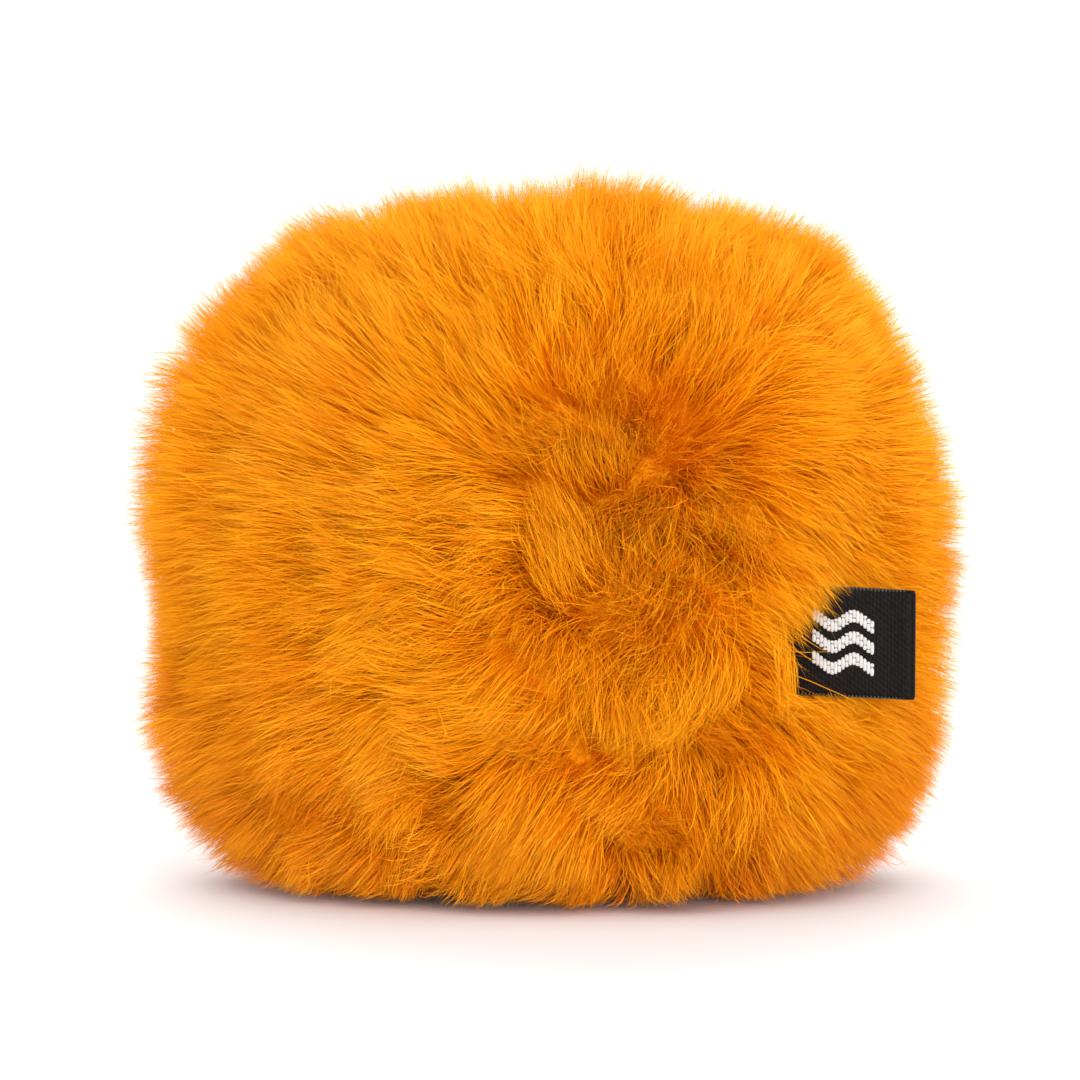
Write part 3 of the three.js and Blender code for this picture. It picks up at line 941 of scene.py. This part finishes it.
def grow(name, count, start, end):
    """Strands between two arc lengths, in pieces that are sectors, and one piece of the strands in the
    label's way.
    """
    azimuth, s = scatter(count, start, end)
    order = np.argsort(azimuth)
    azimuth, s = azimuth[order], s[order]
    share = LONGEST - SHORTER * rng.random(count) ** SHORTER_SKEW
    length = trimmed(s, places(azimuth, s)) * share
    stray = rng.random(count) < STRAYS
    length = np.where(stray, length * rng.uniform(*STRAY_LENGTHS, count), length)
    unruly = np.where(stray, STRAY_UNRULY, CALM) + TOUSLED_UNRULY * tousled(azimuth, meridian(s)[1])
    paths = strand_paths(azimuth, s, length, unruly)
    members = []
    for spacing, strength, wild in LOCKS:
        paths, member = gather(paths, azimuth, spacing, start, end, strength, wild)
        members.append(member)
    paths = rest_on_floor(clear_label(paths))
    shade = fibre_shades(azimuth, s, stray, *members[1:])
    widths = rng.uniform(*STRAND_WIDTHS, count)
    pushed = in_label_way(paths)
    pieces = []
    if pushed.any():
        piece = ribbons(f"{name}_by_label", paths[pushed], widths[pushed], shade[pushed], fibre)
        push_with_label(piece)
        pieces.append(piece)
    still = np.flatnonzero(~pushed)
    for k, part in enumerate(np.array_split(still, math.ceil(len(still) / STRANDS_PER_PIECE))):
        piece = ribbons(f"{name}_{k + 1}", paths[part], widths[part], shade[part], fibre)
        pieces.append(placed(piece, "windscreen"))
    return pieces


def crown_share():
    """The part of the backing's area that is the crown."""
    fine = np.linspace(0, APEX, 600)
    area = np.cumsum(meridian(fine)[0])
    return 1 - np.interp(CROWN_START, fine, area) / area[-1]


def undercoat_depth(base):
    """How far the undercoat stands off the backing: less at the hem and where the label leaves the seam."""
    past_seam = from_seam(np.arctan2(base[:, 0], -base[:, 1])) * CAN_R
    middle = (label_low[2] + label_high[2]) / 2
    by_the_label = near(past_seam, 1.0, 2.6) * near(base[:, 2], middle, 4.5)
    at_hem = np.clip(1 - (base[:, 2] - HEM_Z) / 5, 0, 1)
    lumpy = UNDERCOAT + lock_noise(base)[:, 0] * 0.8 + fine_noise(base)[:, 1] * 0.5
    return lumpy * (1 - 0.85 * by_the_label) * (1 - 0.6 * at_hem)


def fur_panel(name, node_name, start, end, cut_start):
    """One cut of faux fur: its knitted backing, its undercoat and its pile.

    The pile grows from start to end, and the backing runs on from cut_start.
    """
    share = crown_share()
    count = int(STRANDS * (share if start > 0 else 1 - share))
    pile = grow(f"{name}_pile", count, start, end)
    wool = shell(f"{name}_wool", start + 0.15, end - 0.15, 0.05, undercoat_depth, wool_material())
    backing = shell(f"{name}_backing", cut_start, end - 0.1, -BACKING, 0.0, knit_material(), step=0.35)
    placed(wool, "windscreen")
    placed(backing, "windscreen")
    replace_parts(backing, node_name)


fur_panel("wrap", "fur_side_wrap", 0.0, CROWN_START, -HEM_FLANGE)
fur_panel("crown", "fur_crown", CROWN_START, APEX, CROWN_START + 0.1)

# ---- Label ----

LAYER = 0.22
FOLD_GAP = 0.15
MOTIF_REACH = 6.12
MOTIF_HEIGHT = 12.9
MOTIF_SIZE = 3.1
WAVE_STEP = 1.02
WAVE_STROKE = 0.62


def hung(reach, depth, height):
    """Label coordinates as points, with the ribbon's slight bow, twist and droop."""
    share = reach / LABEL_LENGTH
    middle = (label_low[2] + label_high[2]) / 2
    bowed = depth - 0.16 * np.sin(math.pi * share) + 0.03 * share * (height - middle)
    drooped = height - 0.04 * (reach - 4.0)
    return from_label(reach, bowed, drooped)


def ribbon():
    """A satin ribbon folded double, with its fold outwards and its two ends caught in the side seam."""
    straight = np.linspace(LABEL_ROOT, LABEL_LENGTH - 0.45, 90)
    gap = FOLD_GAP + 0.05 * near(straight, LABEL_LENGTH - 0.5, 0.5)
    bend = np.linspace(-math.pi / 2, math.pi / 2, 17)[1:-1]
    reach = np.concatenate([straight, straight[-1] + gap[-1] * np.cos(bend), straight[::-1]])
    depth = np.concatenate([-gap, gap[-1] * np.sin(bend), gap[::-1]])
    outward = unit(np.stack([np.gradient(depth), -np.gradient(reach)], 1))
    height = np.linspace(label_low[2], label_high[2], 41)
    from_edge = np.minimum(height - label_low[2], label_high[2] - height)
    half = LAYER / 2 * (1 - 0.5 * np.exp(-((from_edge / 0.10) ** 2)))
    faces = []
    for side in (1, -1):
        r = reach[None, :] + side * half[:, None] * outward[None, :, 0]
        d = depth[None, :] + side * half[:, None] * outward[None, :, 1]
        h = np.broadcast_to(height[:, None], r.shape)
        faces.append(hung(r, d, h))
    return layer("label_ribbon", faces[0], faces[1], satin_material())


def selvedge():
    """The loops of thread where the picks turn back along both edges of the ribbon."""
    reach = np.arange(LABEL_ROOT + 0.3, LABEL_LENGTH - 0.5, LABEL_PITCH)
    centres = []
    for depth in (-FOLD_GAP, FOLD_GAP):
        for height in (label_low[2] + 0.03, label_high[2] - 0.03):
            centres += [(r, depth, height) for r in reach]
    halves = np.tile([0.062, LAYER / 2 + 0.02, 0.075], (len(centres), 1))
    dark = thread_material("selvedge_thread", (0.012, 0.020, 0.015), (0.075, 0.105, 0.080), 0.09)
    return beads("label_selvedge", centres, halves, dark)


def motif():
    """Three waves, woven in white floats that follow the picks and are tied down on a slant."""
    tie = 0.63
    centres, halves = [], []
    columns = int(MOTIF_SIZE / LABEL_PITCH)
    for j in range(columns):
        reach = MOTIF_REACH + (j - (columns - 1) / 2) * LABEL_PITCH
        for wave in (-1, 0, 1):
            swell = 0.26 * math.sin(2 * math.pi * (reach - MOTIF_REACH) / (MOTIF_SIZE / 1.5))
            middle = MOTIF_HEIGHT + wave * WAVE_STEP + swell
            low, high = middle - WAVE_STROKE / 2, middle + WAVE_STROKE / 2
            ties = np.arange(math.floor(low / tie), math.ceil(high / tie) + 3) * tie - (j % 3) * tie / 3
            cuts = [low, *[z for z in ties if low + 0.1 < z < high - 0.1], high]
            for bottom, top in zip(cuts, cuts[1:]):
                centres.append((reach, -FOLD_GAP - LAYER / 2 - 0.015, (bottom + top) / 2))
                halves.append((LABEL_PITCH * 0.56, 0.034, (top - bottom) / 2))
    facing = math.pi / 2 - LABEL_AZIMUTH
    white = thread_material("motif_thread", (0.40, 0.40, 0.39), (0.72, 0.72, 0.70), 0.08, facing)
    return beads("label_motif", centres, halves, white)


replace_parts(placed(ribbon(), "label"), "label_tab")
placed(selvedge(), "label")
placed(motif(), "label")

# ---- Foam, mouldings and seams ----

CHAMBER_R = 4.4
CHAMBER_TOP = 16.0
CHAMBER_BEVEL = 1.2


def foam():
    """The foam plug, with its rounded shoulders and the chamber that the microphone's head sits in."""
    shoulder = SHOULDER_R - BACKING - LOOSE_FIT
    middle = (foam_high[0] - shoulder, foam_high[2] - shoulder)
    arc = np.linspace(0, math.pi / 2, 16)
    profile = [(0, foam_high[2])]
    profile += [(r, foam_high[2]) for r in np.linspace(0.4, middle[0] - 0.4, 16)]
    profile += [(middle[0] + shoulder * math.sin(a), middle[1] + shoulder * math.cos(a)) for a in arc]
    profile += [(foam_high[0], z) for z in np.linspace(middle[1] - 0.4, foam_low[2] + 0.4, 34)]
    profile += [(r, foam_low[2]) for r in np.linspace(foam_high[0] - 0.3, CHAMBER_R + 0.3, 15)]
    profile += [(CHAMBER_R, z) for z in np.linspace(foam_low[2] + 0.3, CHAMBER_TOP - CHAMBER_BEVEL, 20)]
    profile += [(r, CHAMBER_TOP) for r in np.linspace(CHAMBER_R - CHAMBER_BEVEL, 0.4, 8)]
    profile += [(0, CHAMBER_TOP)]

    def roughen(points):
        return points - 0.12 * np.abs(fine_noise(points * 1.5))

    piece = turned("foam_plug", profile, foam_material(), roughen)
    return piece


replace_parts(placed(foam(), "windscreen"), "foam_core")


def refinish(node_name, material):
    """Gives a CAD node's own object a finished material."""
    mesh = frame["nodes"][node_name].data
    mesh.materials.clear()
    mesh.materials.append(material)


moulding = moulding_material()
refinish("base_plate", moulding)
refinish("hem_clamp_ring", moulding)
refinish("side_seam_thread", thread)
refinish("crown_seam_thread", thread)

# ---- Stage, light and camera ----


def stage():
    """A plain pale floor."""
    material, _, shader = principled("floor", 0.8, specular=0.2)
    shader.inputs["Base Color"].default_value = (0.97, 0.97, 0.97, 1)
    bpy.ops.mesh.primitive_plane_add(size=20.0, location=(0, 0, 0))
    floor = bpy.context.object
    floor.name = "floor"
    floor.data.materials.append(material)


def sun(name, strength, softness, direction):
    """A soft light from far away, which shines along a direction."""
    data = bpy.data.lights.new(name, "SUN")
    data.energy = strength
    data.angle = math.radians(softness)
    light = bpy.data.objects.new(name, data)
    light.rotation_euler = Vector(direction).to_track_quat("-Z", "Y").to_euler()
    bpy.context.scene.collection.objects.link(light)


def camera():
    """A long lens, slightly above level, in front of the object."""
    data = bpy.data.cameras.new("camera")
    data.sensor_width = 36
    distance = 0.45
    view_width = 0.0530
    data.lens = data.sensor_width * distance / view_width
    data.clip_start = 0.01
    eye = bpy.data.objects.new("camera", data)
    target = Vector((-0.0006, 0, 0.0169))
    elevation = math.radians(4)
    eye.location = target + distance * Vector((0, -math.cos(elevation), math.sin(elevation)))
    eye.rotation_euler = (target - eye.location).to_track_quat("-Z", "Y").to_euler()
    bpy.context.scene.collection.objects.link(eye)
    bpy.context.scene.camera = eye


def world(light, backdrop):
    """A white studio: its walls look brighter to the camera than they light the object."""
    settings = bpy.data.worlds.new("studio")
    bpy.context.scene.world = settings
    settings.use_nodes = True
    tree = settings.node_tree
    background = tree.nodes["Background"]
    background.inputs["Color"].default_value = (1, 1, 1, 1)
    seen = node(tree, "LightPath").outputs["Is Camera Ray"]
    strength = calculate(tree, "MULTIPLY_ADD", seen, backdrop - light, light)
    tree.links.new(strength, background.inputs["Strength"])


stage()
world(light=0.84, backdrop=1.05)
sun("key", 0.92, 50, (0.00, 0.80, -0.60))
sun("front", 2.74, 30, (-0.24, 1.0, -0.06))
sun("back", 1.9, 60, (0.10, -1.0, -0.45))
camera()
bpy.context.scene.view_settings.view_transform = "Standard"
